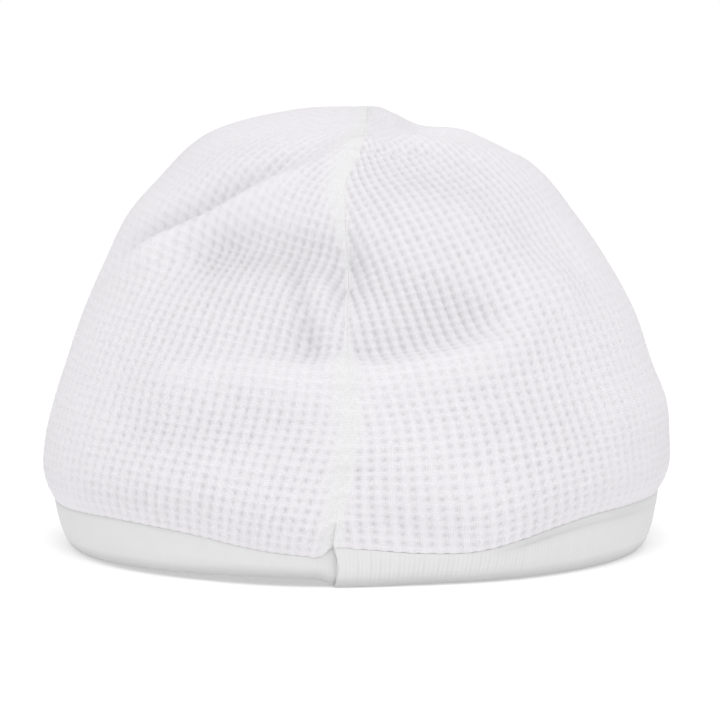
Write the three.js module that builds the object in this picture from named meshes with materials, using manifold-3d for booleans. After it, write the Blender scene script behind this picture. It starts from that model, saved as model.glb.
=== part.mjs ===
// Pull-on skull cap. The crown is waffle knit cut in two halves and sewn along one seam, which
// runs from the nape over the top to the forehead. A doubled strip of rib knit, lapped at the
// nape, finishes the rim.
//
// Millimetres, +Z up. The cap stands on its rim: -Y is the nape, +Y the forehead and +X the
// wearer's right. An azimuth is in degrees round the head, 0 at the nape and +90 at the right.
// A rise is 0 at the foot of the crown and 1 at its apex, measured along the cloth.

import * as THREE from "three";
import { mergeVertices } from "three/addons/utils/BufferGeometryUtils.js";
import Module from "manifold-3d";

// ---- driving dimensions ----

const CLOTH = 2;              // thickness of the waffle knit
const SEAM_ALLOWANCE = 5;     // cloth turned in behind the centre seam
const CLEARANCE = 0.3;        // between pieces that are sewn together
const SEAM_DROP = 6;          // how far the cut for the head runs on below the crown's foot
const BAND_CLOTH = 2.4;       // two layers of rib knit
const BAND_ROUND = 0.6;       // the folded edge, flattened where it stands
const BAND_LAP = 9;           // degrees by which one end of the band covers the other
const LAP_EASE = 12;          // degrees over which a lapped end leaves the band's own line
const SEAM_REACH = 45;        // how far to each side the straying seam moves the cloth
const NAPE_EDGE = 15;         // y up to which the seam strays as the nape's does
const NAPE_TO_BROW = 30;      // y over which it comes to stray as the brow's does
const BROW_STRAIGHT = 100;    // height up to which the seam runs straight at the brow
const FOOT_WAVE = 0.2;        // rise by which the wave of the crown's foot has died out
const FOLD_END = 0.35;        // share of a fold's run in which it rises, and in which it dies out
const NORMAL_TURN = 0.2;      // step round the head for the surface's normal
const NORMAL_RISE = 0.002;    // and up the cloth
const SAME_POINT = 1e-4;      // points nearer to each other than this are one
const COLUMNS = 40;           // facets from nape to forehead on each half
const ROWS = 28;              // facets from the foot of the crown to its apex

// Half widths of the crown at each height, and how far the nape's seam strays to the right.
const LEVELS = [
  { z: 12.5, left: 86.1, right: 85.7, nape: 93.5, brow: 93.5, seam: -6.0 },
  { z: 20.0, left: 89.1, right: 88.8, nape: 97.8, brow: 98.2, seam: -5.0 },
  { z: 30.0, left: 88.7, right: 88.9, nape: 99.0, brow: 99.8, seam: -3.2 },
  { z: 41.0, left: 86.2, right: 88.0, nape: 98.2, brow: 98.6, seam: -1.2 },
  { z: 52.0, left: 82.7, right: 83.8, nape: 94.0, brow: 94.6, seam: -1.6 },
  { z: 66.0, left: 77.9, right: 79.0, nape: 85.5, brow: 88.6, seam: -2.4 },
  { z: 80.0, left: 71.8, right: 71.4, nape: 77.0, brow: 80.6, seam: -2.2 },
  { z: 94.0, left: 64.8, right: 61.8, nape: 66.5, brow: 70.5, seam: -3.0 },
  { z: 105.0, left: 55.2, right: 52.4, nape: 55.0, brow: 59.0, seam: -2.6 },
  { z: 112.5, left: 48.0, right: 41.0, nape: 43.5, brow: 48.5, seam: 0.6 },
  { z: 118.2, left: 38.6, right: 18.0, nape: 30.5, brow: 36.0, seam: 2.2 },
  { z: 122.2, left: 24.6, right: 7.6, nape: 16.0, brow: 20.0, seam: 2.8 },
  { z: 123.7, left: 15.5, right: 3.8, nape: 8.0, brow: 10.0, seam: 3.0 },
  { z: 124.0, left: 0.0, right: 0.0, nape: 0.0, brow: 0.0, seam: 3.0 },
];

// The rim round the head: the height of the join of crown and band, and the band's lift off the
// ground where its foot is slack.
const RIM = [
  { azimuth: -180, join: 14.0, lift: 0.0 },
  { azimuth: -110, join: 14.0, lift: 0.0 },
  { azimuth: -70, join: 13.6, lift: 0.2 },
  { azimuth: -45, join: 14.0, lift: 0.8 },
  { azimuth: -31, join: 12.6, lift: 1.3 },
  { azimuth: -20, join: 10.4, lift: 1.8 },
  { azimuth: -12, join: 9.1, lift: 1.9 },
  { azimuth: -6, join: 8.5, lift: 1.7 },
  { azimuth: -2.2, join: 8.5, lift: 1.4 },
  { azimuth: -0.3, join: 10.6, lift: 0.1 },
  { azimuth: 4, join: 10.4, lift: 0.0 },
  { azimuth: 12, join: 9.0, lift: 0.1 },
  { azimuth: 22, join: 8.6, lift: 0.1 },
  { azimuth: 30, join: 10.8, lift: 0.1 },
  { azimuth: 38, join: 13.4, lift: 0.1 },
  { azimuth: 47, join: 15.3, lift: 0.1 },
  { azimuth: 60, join: 16.0, lift: 0.1 },
  { azimuth: 75, join: 16.2, lift: 0.1 },
  { azimuth: 105, join: 15.2, lift: 0.0 },
  { azimuth: 180, join: 14.0, lift: 0.0 },
];

// Half widths of the band's foot.
const FOOT = { left: 82.9, right: 82.8, nape: 91.5, brow: 91.5 };

// Folds and hollows that run round the slack crown, each between two azimuths. The rises of its
// line are given at its start, middle and end, its height is above the smooth crown, and its
// half widths are below and above the line.
const ROUND_FOLDS = {
  browShelf: { from: -26, to: 50, at: [0.296, 0.298, 0.37], height: 3.0, below: 8.5, above: 4.5 },
  browCrease: { from: -26, to: 50, at: [0.332, 0.336, 0.406], height: -4.2, below: 4.5, above: 9 },
  shelfLeft: { from: -52, to: 4, at: [0.245, 0.276, 0.3], height: 2.6, below: 9, above: 5 },
  hollowLeft: { from: -54, to: 12, at: [0.45, 0.515, 0.46], height: -6.6, below: 10, above: 8 },
  hollowRight: { from: -14, to: 42, at: [0.5, 0.42, 0.36], height: -4.0, below: 8, above: 10 },
  crestLeft: { from: -78, to: 0, at: [0.4, 0.54, 0.73], height: 2.4, below: 7, above: 8 },
  valleyLeft: { from: -86, to: -4, at: [0.405, 0.57, 0.78], height: -3.2, below: 9, above: 9 },
  crestRight: { from: 4, to: 98, at: [0.775, 0.705, 0.64], height: 1.6, below: 8, above: 5 },
  valleyRight: { from: 10, to: 112, at: [0.89, 0.815, 0.78], height: -3.4, below: 5, above: 7 },
  farCrestRight: { from: 62, to: 160, at: [0.8, 0.755, 0.72], height: 2.0, below: 6, above: 6 },
  topCrest: { from: -14, to: 50, at: [0.715, 0.745, 0.72], height: 1, below: 6, above: 6 },
  lowDentLeft: { from: -58, to: -4, at: [0.17, 0.166, 0.185], height: -1.8, below: 9, above: 9 },
  lowRidgeLeft: { from: -50, to: -4, at: [0.105, 0.1, 0.115], height: 1, below: 8, above: 8 },
  lowRidgeRight: { from: -4, to: 36, at: [0.205, 0.112, 0.045], height: 1.5, below: 8, above: 8 },
  lowDentRight: { from: 0, to: 26, at: [0.05, 0.04, 0.03], height: -1, below: 6, above: 6 },
  sideDentRight: { from: 18, to: 56, at: [0.2, 0.192, 0.19], height: -1.6, below: 9, above: 9 },
  lobeRight: { from: 4, to: 42, at: [0.59, 0.565, 0.53], height: 1.8, below: 11, above: 9 },
  sideLobeRight: { from: 28, to: 58, at: [0.44, 0.415, 0.4], height: 1.6, below: 10, above: 10 },
  dentRight: { from: 38, to: 66, at: [0.52, 0.5, 0.48], height: -1.2, below: 8, above: 8 },
};

// Folds that run up the crown, each between two rises, with the azimuths of its line.
const RISING_FOLDS = {
  pucker: { from: 0.27, to: 0.52, at: [-6.5, -9.8, -14], height: -2.4, left: 5, right: 4 },
  seamGroove: { from: 0.3, to: 0.66, at: [0, 0, 0], height: -1.8, left: 6, right: 6 },
  seamPuffHigh: { from: 0.56, to: 0.8, at: [0, 0, 0], height: 1.2, left: 9, right: 9 },
  seamPuffLow: { from: 0.08, to: 0.32, at: [0, 0, 0], height: 0.9, left: 7, right: 7 },
};

// ---- curves shared by the crown and the band ----

const radians = THREE.MathUtils.degToRad;
const ease = (u) => THREE.MathUtils.smoothstep(u, 0, 1);

// Each level's rise is its share of the cloth's length from the foot to the apex.
const meanHalfWidth = (row) => (row.left + row.right + row.nape + row.brow) / 4;
let clothLength = 0;
LEVELS.forEach((row, i) => {
  const below = LEVELS[Math.max(i - 1, 0)];
  clothLength += Math.hypot(meanHalfWidth(row) - meanHalfWidth(below), row.z - below.z);
  row.length = clothLength;
});
for (const row of LEVELS) {
  row.rise = row.length / clothLength;
}

// A smooth curve through one column of a table, read at a position in its key column.
function through(rows, key, column, position, endSlope) {
  const last = rows.length - 1;
  const step = (i) => (rows[i + 1][column] - rows[i][column]) / (rows[i + 1][key] - rows[i][key]);
  const slope = (i) => {
    if (i === 0) return step(0);
    if (i === last) return endSlope ?? step(last - 1);
    const before = rows[i][key] - rows[i - 1][key];
    const after = rows[i + 1][key] - rows[i][key];
    return (step(i - 1) * after + step(i) * before) / (before + after);
  };
  const found = rows.findIndex((row) => row[key] > position);
  const i = found < 0 ? last - 1 : Math.max(found - 1, 0);
  const span = rows[i + 1][key] - rows[i][key];
  const u = (position - rows[i][key]) / span;
  return (
    rows[i][column] * (2 * u ** 3 - 3 * u ** 2 + 1) +
    rows[i + 1][column] * (3 * u ** 2 - 2 * u ** 3) +
    slope(i) * span * (u ** 3 - 2 * u ** 2 + u) +
    slope(i + 1) * span * (u ** 3 - u ** 2)
  );
}

const level = (column, rise, endSlope) => through(LEVELS, "rise", column, rise, endSlope);
const rim = (column, azimuth) => through(RIM, "azimuth", column, azimuth);

// ---- the crown's surface ----

// A point of the smooth crown, before its folds.
function smoothCrown(azimuth, rise) {
  const sine = Math.sin(radians(azimuth));
  const cosine = Math.cos(radians(azimuth));
  const z = level("z", rise, 0);
  const footWave = (rim("join", azimuth) - LEVELS[0].z) * (1 - ease(rise / FOOT_WAVE));
  return new THREE.Vector3(
    level(sine < 0 ? "left" : "right", rise) * sine,
    -level(cosine > 0 ? "nape" : "brow", rise) * cosine,
    z + footWave,
  );
}

function outward(azimuth, rise) {
  const low = Math.max(rise - NORMAL_RISE, 0);
  const high = Math.min(rise + NORMAL_RISE, 1 - NORMAL_RISE / 2);
  const middle = (low + high) / 2;
  const left = smoothCrown(azimuth - NORMAL_TURN, middle);
  const round = smoothCrown(azimuth + NORMAL_TURN, middle).sub(left);
  const up = smoothCrown(azimuth, high).sub(smoothCrown(azimuth, low));
  return round.cross(up).normalize();
}

// One fold's height at a distance along it, from 0 to 1, and a distance across it.
function foldHeight(fold, along, across, negativeSide, positiveSide) {
  const ends = ease(along / FOLD_END) * ease((1 - along) / FOLD_END);
  const side = across < 0 ? negativeSide : positiveSide;
  return fold.height * ends * Math.exp(-((across / side) ** 2));
}

function foldLine(fold, along) {
  const u = THREE.MathUtils.clamp(along, 0, 1);
  const [start, middle, end] = fold.at;
  return start * (1 - u) * (1 - 2 * u) + middle * 4 * u * (1 - u) + end * u * (2 * u - 1);
}

function folds(azimuth, rise) {
  let height = 0;
  for (const fold of Object.values(ROUND_FOLDS)) {
    const along = (azimuth - fold.from) / (fold.to - fold.from);
    const across = (rise - foldLine(fold, along)) * clothLength;
    height += foldHeight(fold, along, across, fold.below, fold.above);
  }
  const halfWidth = (level("left", rise) + level("right", rise)) / 2;
  for (const fold of Object.values(RISING_FOLDS)) {
    const along = (rise - fold.from) / (fold.to - fold.from);
    const across = radians(azimuth - foldLine(fold, along)) * halfWidth;
    height += foldHeight(fold, along, across, fold.left, fold.right);
  }
  return height;
}

// A point of the cloth at a depth inside its outer face.
function cloth(azimuth, rise, depth) {
  const lift = folds(azimuth, rise) - depth;
  return smoothCrown(azimuth, rise).addScaledVector(outward(azimuth, rise), lift);
}

// The seam strays sideways on its way up the nape and carries the cloth beside it along.
function strayWithSeam(point) {
  const foot = LEVELS[0];
  const apex = LEVELS.at(-1);
  const nape = through(LEVELS, "z", "seam", THREE.MathUtils.clamp(point.z, foot.z, apex.z), 0);
  const brow = apex.seam * ease((point.z - BROW_STRAIGHT) / (apex.z - BROW_STRAIGHT));
  const share = ease((NAPE_EDGE - point.y) / NAPE_TO_BROW);
  const fade = 1 - ease(Math.abs(point.x) / SEAM_REACH);
  point.x += (nape * share + brow * (1 - share)) * fade;
  return point;
}

// ---- solids ----

const wasm = await Module();
wasm.setup();

// A closed mesh from triangles of points, its shared points merged.
function closedGeometry(triangles) {
  const geometry = new THREE.BufferGeometry().setFromPoints(triangles.flat());
  return mergeVertices(geometry, SAME_POINT);
}

function toSolid(geometry) {
  const vertProperties = new Float32Array(geometry.getAttribute("position").array);
  const triVerts = new Uint32Array(geometry.getIndex().array);
  return new wasm.Manifold(new wasm.Mesh({ numProp: 3, vertProperties, triVerts }));
}

function fromSolid(solid) {
  const mesh = solid.getMesh();
  const geometry = new THREE.BufferGeometry();
  geometry.setAttribute("position", new THREE.BufferAttribute(mesh.vertProperties, 3));
  geometry.setIndex(new THREE.BufferAttribute(mesh.triVerts, 1));
  return geometry;
}

// Two triangles over a four-sided patch, its corners taken anticlockwise from outside. A patch
// that closes to a point gives one.
function patch(a, b, c, d) {
  const whole = (triangle) => new Set(triangle.map((p) => p.toArray().join())).size === 3;
  return [[a, b, c], [a, c, d]].filter(whole);
}

// Everything under one half of the crown, inside a depth of cloth and beyond a distance from
// the centre seam. A drop carries it below the crown's foot.
function halfDome(side, depth, fromSeam, drop) {
  const column = (i) => {
    const azimuth = (side * 180 * i) / COLUMNS;
    const points = [];
    for (let j = 0; j <= ROWS; j += 1) {
      const point = cloth(azimuth, j / ROWS, depth);
      const beside = i === 0 || i === COLUMNS || j === ROWS;
      point.x = side * (beside ? fromSeam : Math.hypot(point.x, fromSeam));
      points.push(point);
    }
    points[ROWS].y = 0;
    points[ROWS].z = LEVELS.at(-1).z - depth;
    if (drop > 0) points.unshift(points[0].clone().setZ(points[0].z - drop));
    return points;
  };
  const columns = Array.from({ length: COLUMNS + 1 }, (_, i) => column(i));
  const foot = new THREE.Vector3(side * fromSeam, 0, LEVELS[0].z - drop);
  const top = columns[0].length - 1;
  const triangles = [];
  for (let i = 0; i < COLUMNS; i += 1) {
    const here = columns[i];
    const next = columns[i + 1];
    for (let j = 0; j < top; j += 1) {
      triangles.push(...patch(here[j], next[j], next[j + 1], here[j + 1]));
    }
    triangles.push([foot, next[0], here[0]]);
  }
  for (let j = 0; j < top; j += 1) {
    triangles.push([foot, columns[0][j], columns[0][j + 1]]);
    triangles.push([foot, columns[COLUMNS][j + 1], columns[COLUMNS][j]]);
  }
  if (side < 0) triangles.forEach((triangle) => triangle.reverse());
  return toSolid(closedGeometry(triangles));
}

// What is cut out of the seam's face inside the turned-in cloth.
function insideSeamAllowance() {
  const depth = CLOTH + SEAM_ALLOWANCE;
  const rises = Array.from({ length: ROWS }, (_, j) => j / ROWS);
  const nape = rises.map((rise) => cloth(0, rise, depth));
  const brow = rises.map((rise) => cloth(180, rise, depth)).reverse();
  const apex = new THREE.Vector3(0, 0, LEVELS.at(-1).z - depth);
  const under = (point) => point.clone().setZ(point.z - SEAM_DROP);
  const outline = [under(nape[0]), ...nape, apex, ...brow, under(brow.at(-1))];
  const shape = new THREE.Shape(outline.map((point) => new THREE.Vector2(point.y, point.z)));
  const width = 2 * (CLOTH + CLEARANCE);
  const geometry = new THREE.ExtrudeGeometry(shape, { depth: 2 * width, bevelEnabled: false });
  geometry.deleteAttribute("normal");
  geometry.deleteAttribute("uv");
  const across = new THREE.Vector3(1, 0, 0);
  const along = new THREE.Vector3(0, 1, 0);
  const up = new THREE.Vector3(0, 0, 1);
  geometry.translate(0, 0, -width);
  geometry.applyMatrix4(new THREE.Matrix4().makeBasis(along, up, across));
  return toSolid(mergeVertices(geometry, SAME_POINT));
}

// One half of the crown: its wall, and the edge turned in along the centre seam.
function crownHalf(side) {
  const face = CLEARANCE / 2;
  const wall = halfDome(side, 0, face, 0).subtract(halfDome(side, CLOTH, face + CLOTH, SEAM_DROP));
  const geometry = fromSolid(wall.subtract(insideSeamAllowance()));
  return carriedBySeam(geometry);
}

function carriedBySeam(geometry) {
  const position = geometry.getAttribute("position");
  const point = new THREE.Vector3();
  for (let i = 0; i < position.count; i += 1) {
    strayWithSeam(point.fromBufferAttribute(position, i));
    position.setXYZ(i, point.x, point.y, point.z);
  }
  geometry.computeVertexNormals();
  return geometry;
}

// The band: a folded strip that starts tucked under its own end at the nape, runs round by the
// left, and finishes on top. Its section is eight points, from the outer top edge round by the
// foot, which is flat where it stands.
function bandSection(azimuth, shift) {
  const turned = THREE.MathUtils.euclideanModulo(azimuth + 180, 360) - 180;
  const sine = Math.sin(radians(turned));
  const cosine = Math.cos(radians(turned));
  const top = rim("join", turned) - CLEARANCE;
  const foot = Math.max(rim("lift", turned), 0);
  const middle = (top + foot) / 2;
  const corners = [
    [0, top],
    [0, middle],
    [0, foot + BAND_ROUND],
    [BAND_ROUND, foot],
    [BAND_CLOTH - BAND_ROUND, foot],
    [BAND_CLOTH, foot + BAND_ROUND],
    [BAND_CLOTH, middle],
    [BAND_CLOTH, top],
  ];
  const across = sine < 0 ? "left" : "right";
  const along = cosine > 0 ? "nape" : "brow";
  return corners.map(([inset, z]) => {
    const share = (z - foot) / (top - foot);
    const inward = inset - shift;
    return new THREE.Vector3(
      (THREE.MathUtils.lerp(FOOT[across], LEVELS[0][across], share) - inward) * sine,
      -(THREE.MathUtils.lerp(FOOT[along], LEVELS[0][along], share) - inward) * cosine,
      z,
    );
  });
}

function rimBand() {
  const step = 180 / COLUMNS;
  const stations = Math.round((360 + BAND_LAP) / step);
  const apart = (BAND_CLOTH + CLEARANCE) / 2;
  const sections = Array.from({ length: stations + 1 }, (_, k) => {
    const fromStart = k * step;
    const fromEnd = (stations - k) * step;
    const tucked = 1 - ease((fromStart - BAND_LAP) / LAP_EASE);
    const raised = 1 - ease((fromEnd - BAND_LAP) / LAP_EASE);
    return bandSection(BAND_LAP - fromStart, (raised - tucked) * apart);
  });
  const triangles = [];
  const corners = sections[0].length;
  for (let k = 0; k < stations; k += 1) {
    const here = sections[k];
    const next = sections[k + 1];
    for (let c = 0; c < corners; c += 1) {
      const d = (c + 1) % corners;
      triangles.push(...patch(here[c], next[c], next[d], here[d]));
    }
  }
  const start = sections[0];
  const end = sections[stations];
  for (let c = 1; c < corners - 1; c += 1) {
    triangles.push([start[0], start[c], start[c + 1]]);
    triangles.push([end[0], end[c + 1], end[c]]);
  }
  return carriedBySeam(closedGeometry(triangles));
}

// ---- the cap ----

const waffleKnit = new THREE.MeshStandardMaterial({ color: 0xe9e8eb, roughness: 0.95, metalness: 0 });
const ribKnit = new THREE.MeshStandardMaterial({ color: 0xe4e4e4, roughness: 0.92, metalness: 0 });

function piece(name, geometry, material) {
  const mesh = new THREE.Mesh(geometry, material);
  mesh.name = name;
  return mesh;
}

const cap = new THREE.Group();
cap.name = "skull_cap";
cap.add(piece("crown_left", crownHalf(-1), waffleKnit.clone()));
cap.add(piece("crown_right", crownHalf(1), waffleKnit.clone()));
cap.add(piece("rim_band", rimBand(), ribKnit));

export default cap;
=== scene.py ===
import math

import bmesh
import bpy
import numpy as np
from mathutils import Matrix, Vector


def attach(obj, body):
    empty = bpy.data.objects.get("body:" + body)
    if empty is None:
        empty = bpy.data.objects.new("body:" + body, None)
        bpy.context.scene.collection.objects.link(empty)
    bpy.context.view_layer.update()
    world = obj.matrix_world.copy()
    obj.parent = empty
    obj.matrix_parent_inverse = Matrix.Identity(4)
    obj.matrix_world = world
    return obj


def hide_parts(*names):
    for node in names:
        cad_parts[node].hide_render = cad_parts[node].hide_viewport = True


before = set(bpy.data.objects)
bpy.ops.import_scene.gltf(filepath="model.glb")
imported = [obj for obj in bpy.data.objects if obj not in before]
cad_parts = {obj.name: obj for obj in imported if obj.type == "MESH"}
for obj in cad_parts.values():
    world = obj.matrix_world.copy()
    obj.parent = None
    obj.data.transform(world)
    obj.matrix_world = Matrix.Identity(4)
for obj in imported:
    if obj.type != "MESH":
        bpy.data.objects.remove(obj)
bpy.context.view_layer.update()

# ---- the camera ----
# It stands behind the wearer, a metre from the middle of the cap and a little above the top of
# it, and looks slightly down. -Y is the nape, +Y the forehead, +X the wearer's right.

CAMERA_DISTANCE = 1.0
CAMERA_PITCH = math.radians(4.8)
CAMERA_LENS = 174.45         # millimetres, as the sensor's width
CAMERA_SENSOR = 36.0
CAMERA_ASIDE = 0.00086       # metres to the right of the middle
CAMERA_RAISE = 0.05159       # and over the line of sight through the origin

camera_data = bpy.data.cameras.new("camera")
camera_data.lens = CAMERA_LENS
camera_data.sensor_width = CAMERA_SENSOR
camera = bpy.data.objects.new("camera", camera_data)
bpy.context.collection.objects.link(camera)
ahead = Vector((0.0, math.cos(CAMERA_PITCH), -math.sin(CAMERA_PITCH)))
overhead = Vector((0.0, math.sin(CAMERA_PITCH), math.cos(CAMERA_PITCH)))
camera.location = overhead * CAMERA_RAISE - ahead * CAMERA_DISTANCE
camera.location.x = CAMERA_ASIDE
camera.rotation_euler = (math.pi / 2 - CAMERA_PITCH, 0.0, 0.0)
bpy.context.scene.camera = camera

# ---- the floor and the light ----
# A plain white floor runs out of sight under an even white surround. One broad soft lamp stands
# high on the camera's side, so that the folds and the pits of the knit stay readable.

WHITE = (1.0, 1.0, 1.0, 1.0)
FLOOR_RADIUS = 60.0
FLOOR_DROP = 0.0002          # below the rim, so that the two don't share a plane
FLOOR_WHITE = (0.66, 0.66, 0.66, 1.0)
FLOOR_ROUGHNESS = 0.9
FLOOR_GLOW = 0.425           # its own light, which keeps shadows pale
SURROUND_STRENGTH = 0.63
KEY_STRENGTH = 1.26
KEY_SPREAD = math.radians(34.0)
KEY_TILT = math.radians(30.0)

floor_mesh = bpy.data.meshes.new("floor")
bm = bmesh.new()
bmesh.ops.create_circle(bm, cap_ends=True, segments=64, radius=FLOOR_RADIUS)
bmesh.ops.translate(bm, verts=bm.verts, vec=(0.0, 0.0, -FLOOR_DROP))
bm.to_mesh(floor_mesh)
bm.free()
floor = bpy.data.objects.new("floor", floor_mesh)
bpy.context.collection.objects.link(floor)
floor_finish = bpy.data.materials.new("white_floor")
floor_finish.use_nodes = True
floor_shader = floor_finish.node_tree.nodes["Principled BSDF"]
floor_shader.inputs["Base Color"].default_value = FLOOR_WHITE
floor_shader.inputs["Roughness"].default_value = FLOOR_ROUGHNESS
floor_shader.inputs["Specular IOR Level"].default_value = 0.0
floor_shader.inputs["Emission Color"].default_value = WHITE
floor_shader.inputs["Emission Strength"].default_value = FLOOR_GLOW
floor_mesh.materials.append(floor_finish)

# The surround looks plain white and lights the cap less than it shows.
surround = bpy.data.worlds.new("surround")
surround.use_nodes = True
sky = surround.node_tree.nodes["Background"]
sky.inputs["Color"].default_value = WHITE
seen = surround.node_tree.nodes.new("ShaderNodeLightPath")
strength = surround.node_tree.nodes.new("ShaderNodeMapRange")
strength.inputs["To Min"].default_value = SURROUND_STRENGTH
strength.inputs["To Max"].default_value = 1.0
surround.node_tree.links.new(seen.outputs["Is Camera Ray"], strength.inputs["Value"])
surround.node_tree.links.new(strength.outputs["Result"], sky.inputs["Strength"])
bpy.context.scene.world = surround
bpy.context.scene.view_settings.view_transform = "Standard"

key_data = bpy.data.lights.new("key_light", "SUN")
key_data.energy = KEY_STRENGTH
key_data.angle = KEY_SPREAD
key = bpy.data.objects.new("key_light", key_data)
key.rotation_euler = (KEY_TILT, 0.0, 0.0)
bpy.context.collection.objects.link(key)

# ---- the crown: two halves of waffle knit ----
# Each half is cut from thick cotton waffle knit, raised cords round sunken pits. The two are
# sewn along a seam from the nape over the top to the forehead, and their edges are turned in
# behind it. The cloth is slack and sags into broad folds above the nape.

# Sizes are in millimetres. An azimuth is 0 at the nape and 90 at the right side, a rise is 0 at
# the crown's foot and 1 at its apex.
MM = 0.001
CLOTH = 2.0                  # thickness of the knit
SEAM_ALLOWANCE = 5.0         # cloth turned in behind the centre seam
FOOT_RADIUS = 88.0           # mean radius of the crown's foot and the band
WALE = 3.25                  # width of one cell of the knit
COURSE = 2.7                 # height of one cell
WALE_STEPS = 5               # facets across a cell
COURSE_STEPS = 4             # facets up a cell
CORD_HEIGHT = 1.05           # of the raised cords above the pits
CROWN_PINK_WHITE = (0.935, 0.914, 0.947, 1.0)
# The pits' white is painted shade, for the shade that falls in them.
CROWN_PIT_PAINTED_SHADE = (0.774, 0.76, 0.782, 1.0)
SEAM_WHITE = (0.9, 0.897, 0.9, 1.0)

# height, half widths at the left, right, nape and brow, and the stray of the nape's seam
LEVELS = np.array([
    (12.5, 86.1, 85.7, 93.5, 93.5, -6.0),
    (20.0, 89.1, 88.8, 97.8, 98.2, -5.0),
    (30.0, 88.7, 88.9, 99.0, 99.8, -3.2),
    (41.0, 86.2, 88.0, 98.2, 98.6, -1.2),
    (52.0, 82.7, 83.8, 94.0, 94.6, -1.6),
    (66.0, 77.9, 79.0, 85.5, 88.6, -2.4),
    (80.0, 71.8, 71.4, 77.0, 80.6, -2.2),
    (94.0, 64.8, 61.8, 66.5, 70.5, -3.0),
    (105.0, 55.2, 52.4, 55.0, 59.0, -2.6),
    (112.5, 48.0, 41.0, 43.5, 48.5, 0.6),
    (118.2, 38.6, 18.0, 30.5, 36.0, 2.2),
    (122.2, 24.6, 7.6, 16.0, 20.0, 2.8),
    (123.7, 15.5, 3.8, 8.0, 10.0, 3.0),
    (124.0, 0.0, 0.0, 0.0, 0.0, 3.0),
])
HEIGHT, LEFT, RIGHT, NAPE, BROW, SEAM = range(6)

# azimuth, height of the join of crown and band, lift of the band's foot off the ground
RIM = np.array([
    (-180, 14.0, 0.0),
    (-110, 14.0, 0.0),
    (-70, 13.6, 0.2),
    (-45, 14.0, 0.8),
    (-31, 12.6, 1.3),
    (-20, 10.4, 1.8),
    (-12, 9.1, 1.9),
    (-6, 8.5, 1.7),
    (-2.2, 8.5, 1.4),
    (-0.3, 10.6, 0.1),
    (4, 10.4, 0.0),
    (12, 9.0, 0.1),
    (22, 8.6, 0.1),
    (30, 10.8, 0.1),
    (38, 13.4, 0.1),
    (47, 15.3, 0.1),
    (60, 16.0, 0.1),
    (75, 16.2, 0.1),
    (105, 15.2, 0.0),
    (180, 14.0, 0.0),
])
AZIMUTH, JOIN, LIFT = range(3)

# Folds that run round: from and to which azimuth, the rises of the line at its start, middle
# and end, the fold's height, and its half widths below and above the line.
ROUND_FOLDS = {
    "brow_shelf": (-26, 46, (0.27, 0.277, 0.364), 3.4, 8.5, 4.5),
    "brow_crease": (-26, 40, (0.322, 0.33, 0.402), -4.2, 4.2, 9),
    "shelf_left": (-52, 4, (0.245, 0.276, 0.3), 2.6, 9, 5),
    "hollow_left": (-54, 12, (0.45, 0.515, 0.46), -6.6, 10, 8),
    "hollow_right": (-14, 36, (0.5, 0.428, 0.371), -4.0, 8, 10),
    "crest_left": (-78, 0, (0.4, 0.54, 0.73), 3.6, 6.5, 3.6),
    "valley_left": (-86, -4, (0.405, 0.57, 0.78), -6.2, 3.6, 8),
    "crest_right": (4, 98, (0.775, 0.705, 0.64), 1.6, 8, 5),
    "valley_right": (10, 112, (0.89, 0.815, 0.78), -3.4, 5, 7),
    "far_crest_right": (62, 160, (0.8, 0.755, 0.72), 2.0, 6, 6),
    "top_crest": (-14, 50, (0.715, 0.745, 0.72), 1, 6, 6),
    "apex_crease": (-12, 36, (0.714, 0.708, 0.698), -1.0, 1.0, 1.5),
    "low_dent_left": (-58, -4, (0.17, 0.166, 0.185), -1.8, 9, 9),
    "low_ridge_left": (-50, -4, (0.105, 0.1, 0.115), 1, 8, 8),
    "low_ridge_right": (-4, 36, (0.205, 0.112, 0.045), 1.5, 8, 8),
    "low_dent_right": (0, 26, (0.05, 0.04, 0.03), -1, 6, 6),
    "side_dent_right": (18, 56, (0.2, 0.192, 0.19), -1.6, 9, 9),
    "lobe_right": (4, 42, (0.59, 0.565, 0.53), 1.8, 11, 9),
    "side_lobe_right": (28, 58, (0.44, 0.415, 0.4), 1.6, 10, 10),
    "dent_right": (38, 66, (0.52, 0.5, 0.48), -1.2, 8, 8),
}

# Folds that run up: from and to which rise, the azimuths of the line at its start, middle and
# end, the fold's height, and its half widths to the left and right of the line.
RISING_FOLDS = {
    "pucker": (0.27, 0.52, (-6.5, -9.8, -14.0), -2.5, 3, 2.2),
    "pucker_puff": (0.3, 0.52, (-3, -5, -6), 1.4, 2.6, 2.6),
    "seam_groove": (0.3, 0.66, (0, 0, 0), -2.4, 4, 4),
    "seam_puff_high": (0.56, 0.8, (-2, -2, -2), 1.2, 8, 6),
    "seam_puff_low": (0.08, 0.34, (-1, -1, -1), 1.2, 6, 5),
    "seam_fill": (0.24, 0.4, (-1.5, -1, -0.5), 2.6, 5.5, 4.5),
}

FOOT_WAVE = 0.2              # rise by which the wave of the crown's foot has died out
NORMAL_TURN = 0.2            # step round the head for the surface's normal, in degrees
NORMAL_RISE = 0.002          # and up the cloth
APEX_STOP = 0.999            # rise up to which a normal is taken
FOLD_END = 0.35              # share of a fold's run in which it rises, and in which it dies out
NAPE_STRAY = (15.0, -15.0)   # y where the seam starts to stray as at the nape, and fully does
BROW_STRAIGHT = 100.0        # height up to which it runs straight at the brow
SEAM_REACH = 45.0            # how far to each side the straying seam moves the cloth


def ease(u):
    u = np.clip(u, 0.0, 1.0)
    return u * u * (3.0 - 2.0 * u)


def between(position, none, full):
    """0 on one position's side and 1 on the other's, with an easy change between them."""
    return ease((position - none) / (full - none))


def within(position, start, end):
    """1 from a start to an end and 0 outside, with an easy change over each pair of positions."""
    return between(position, *start) * between(position, *end)


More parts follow.
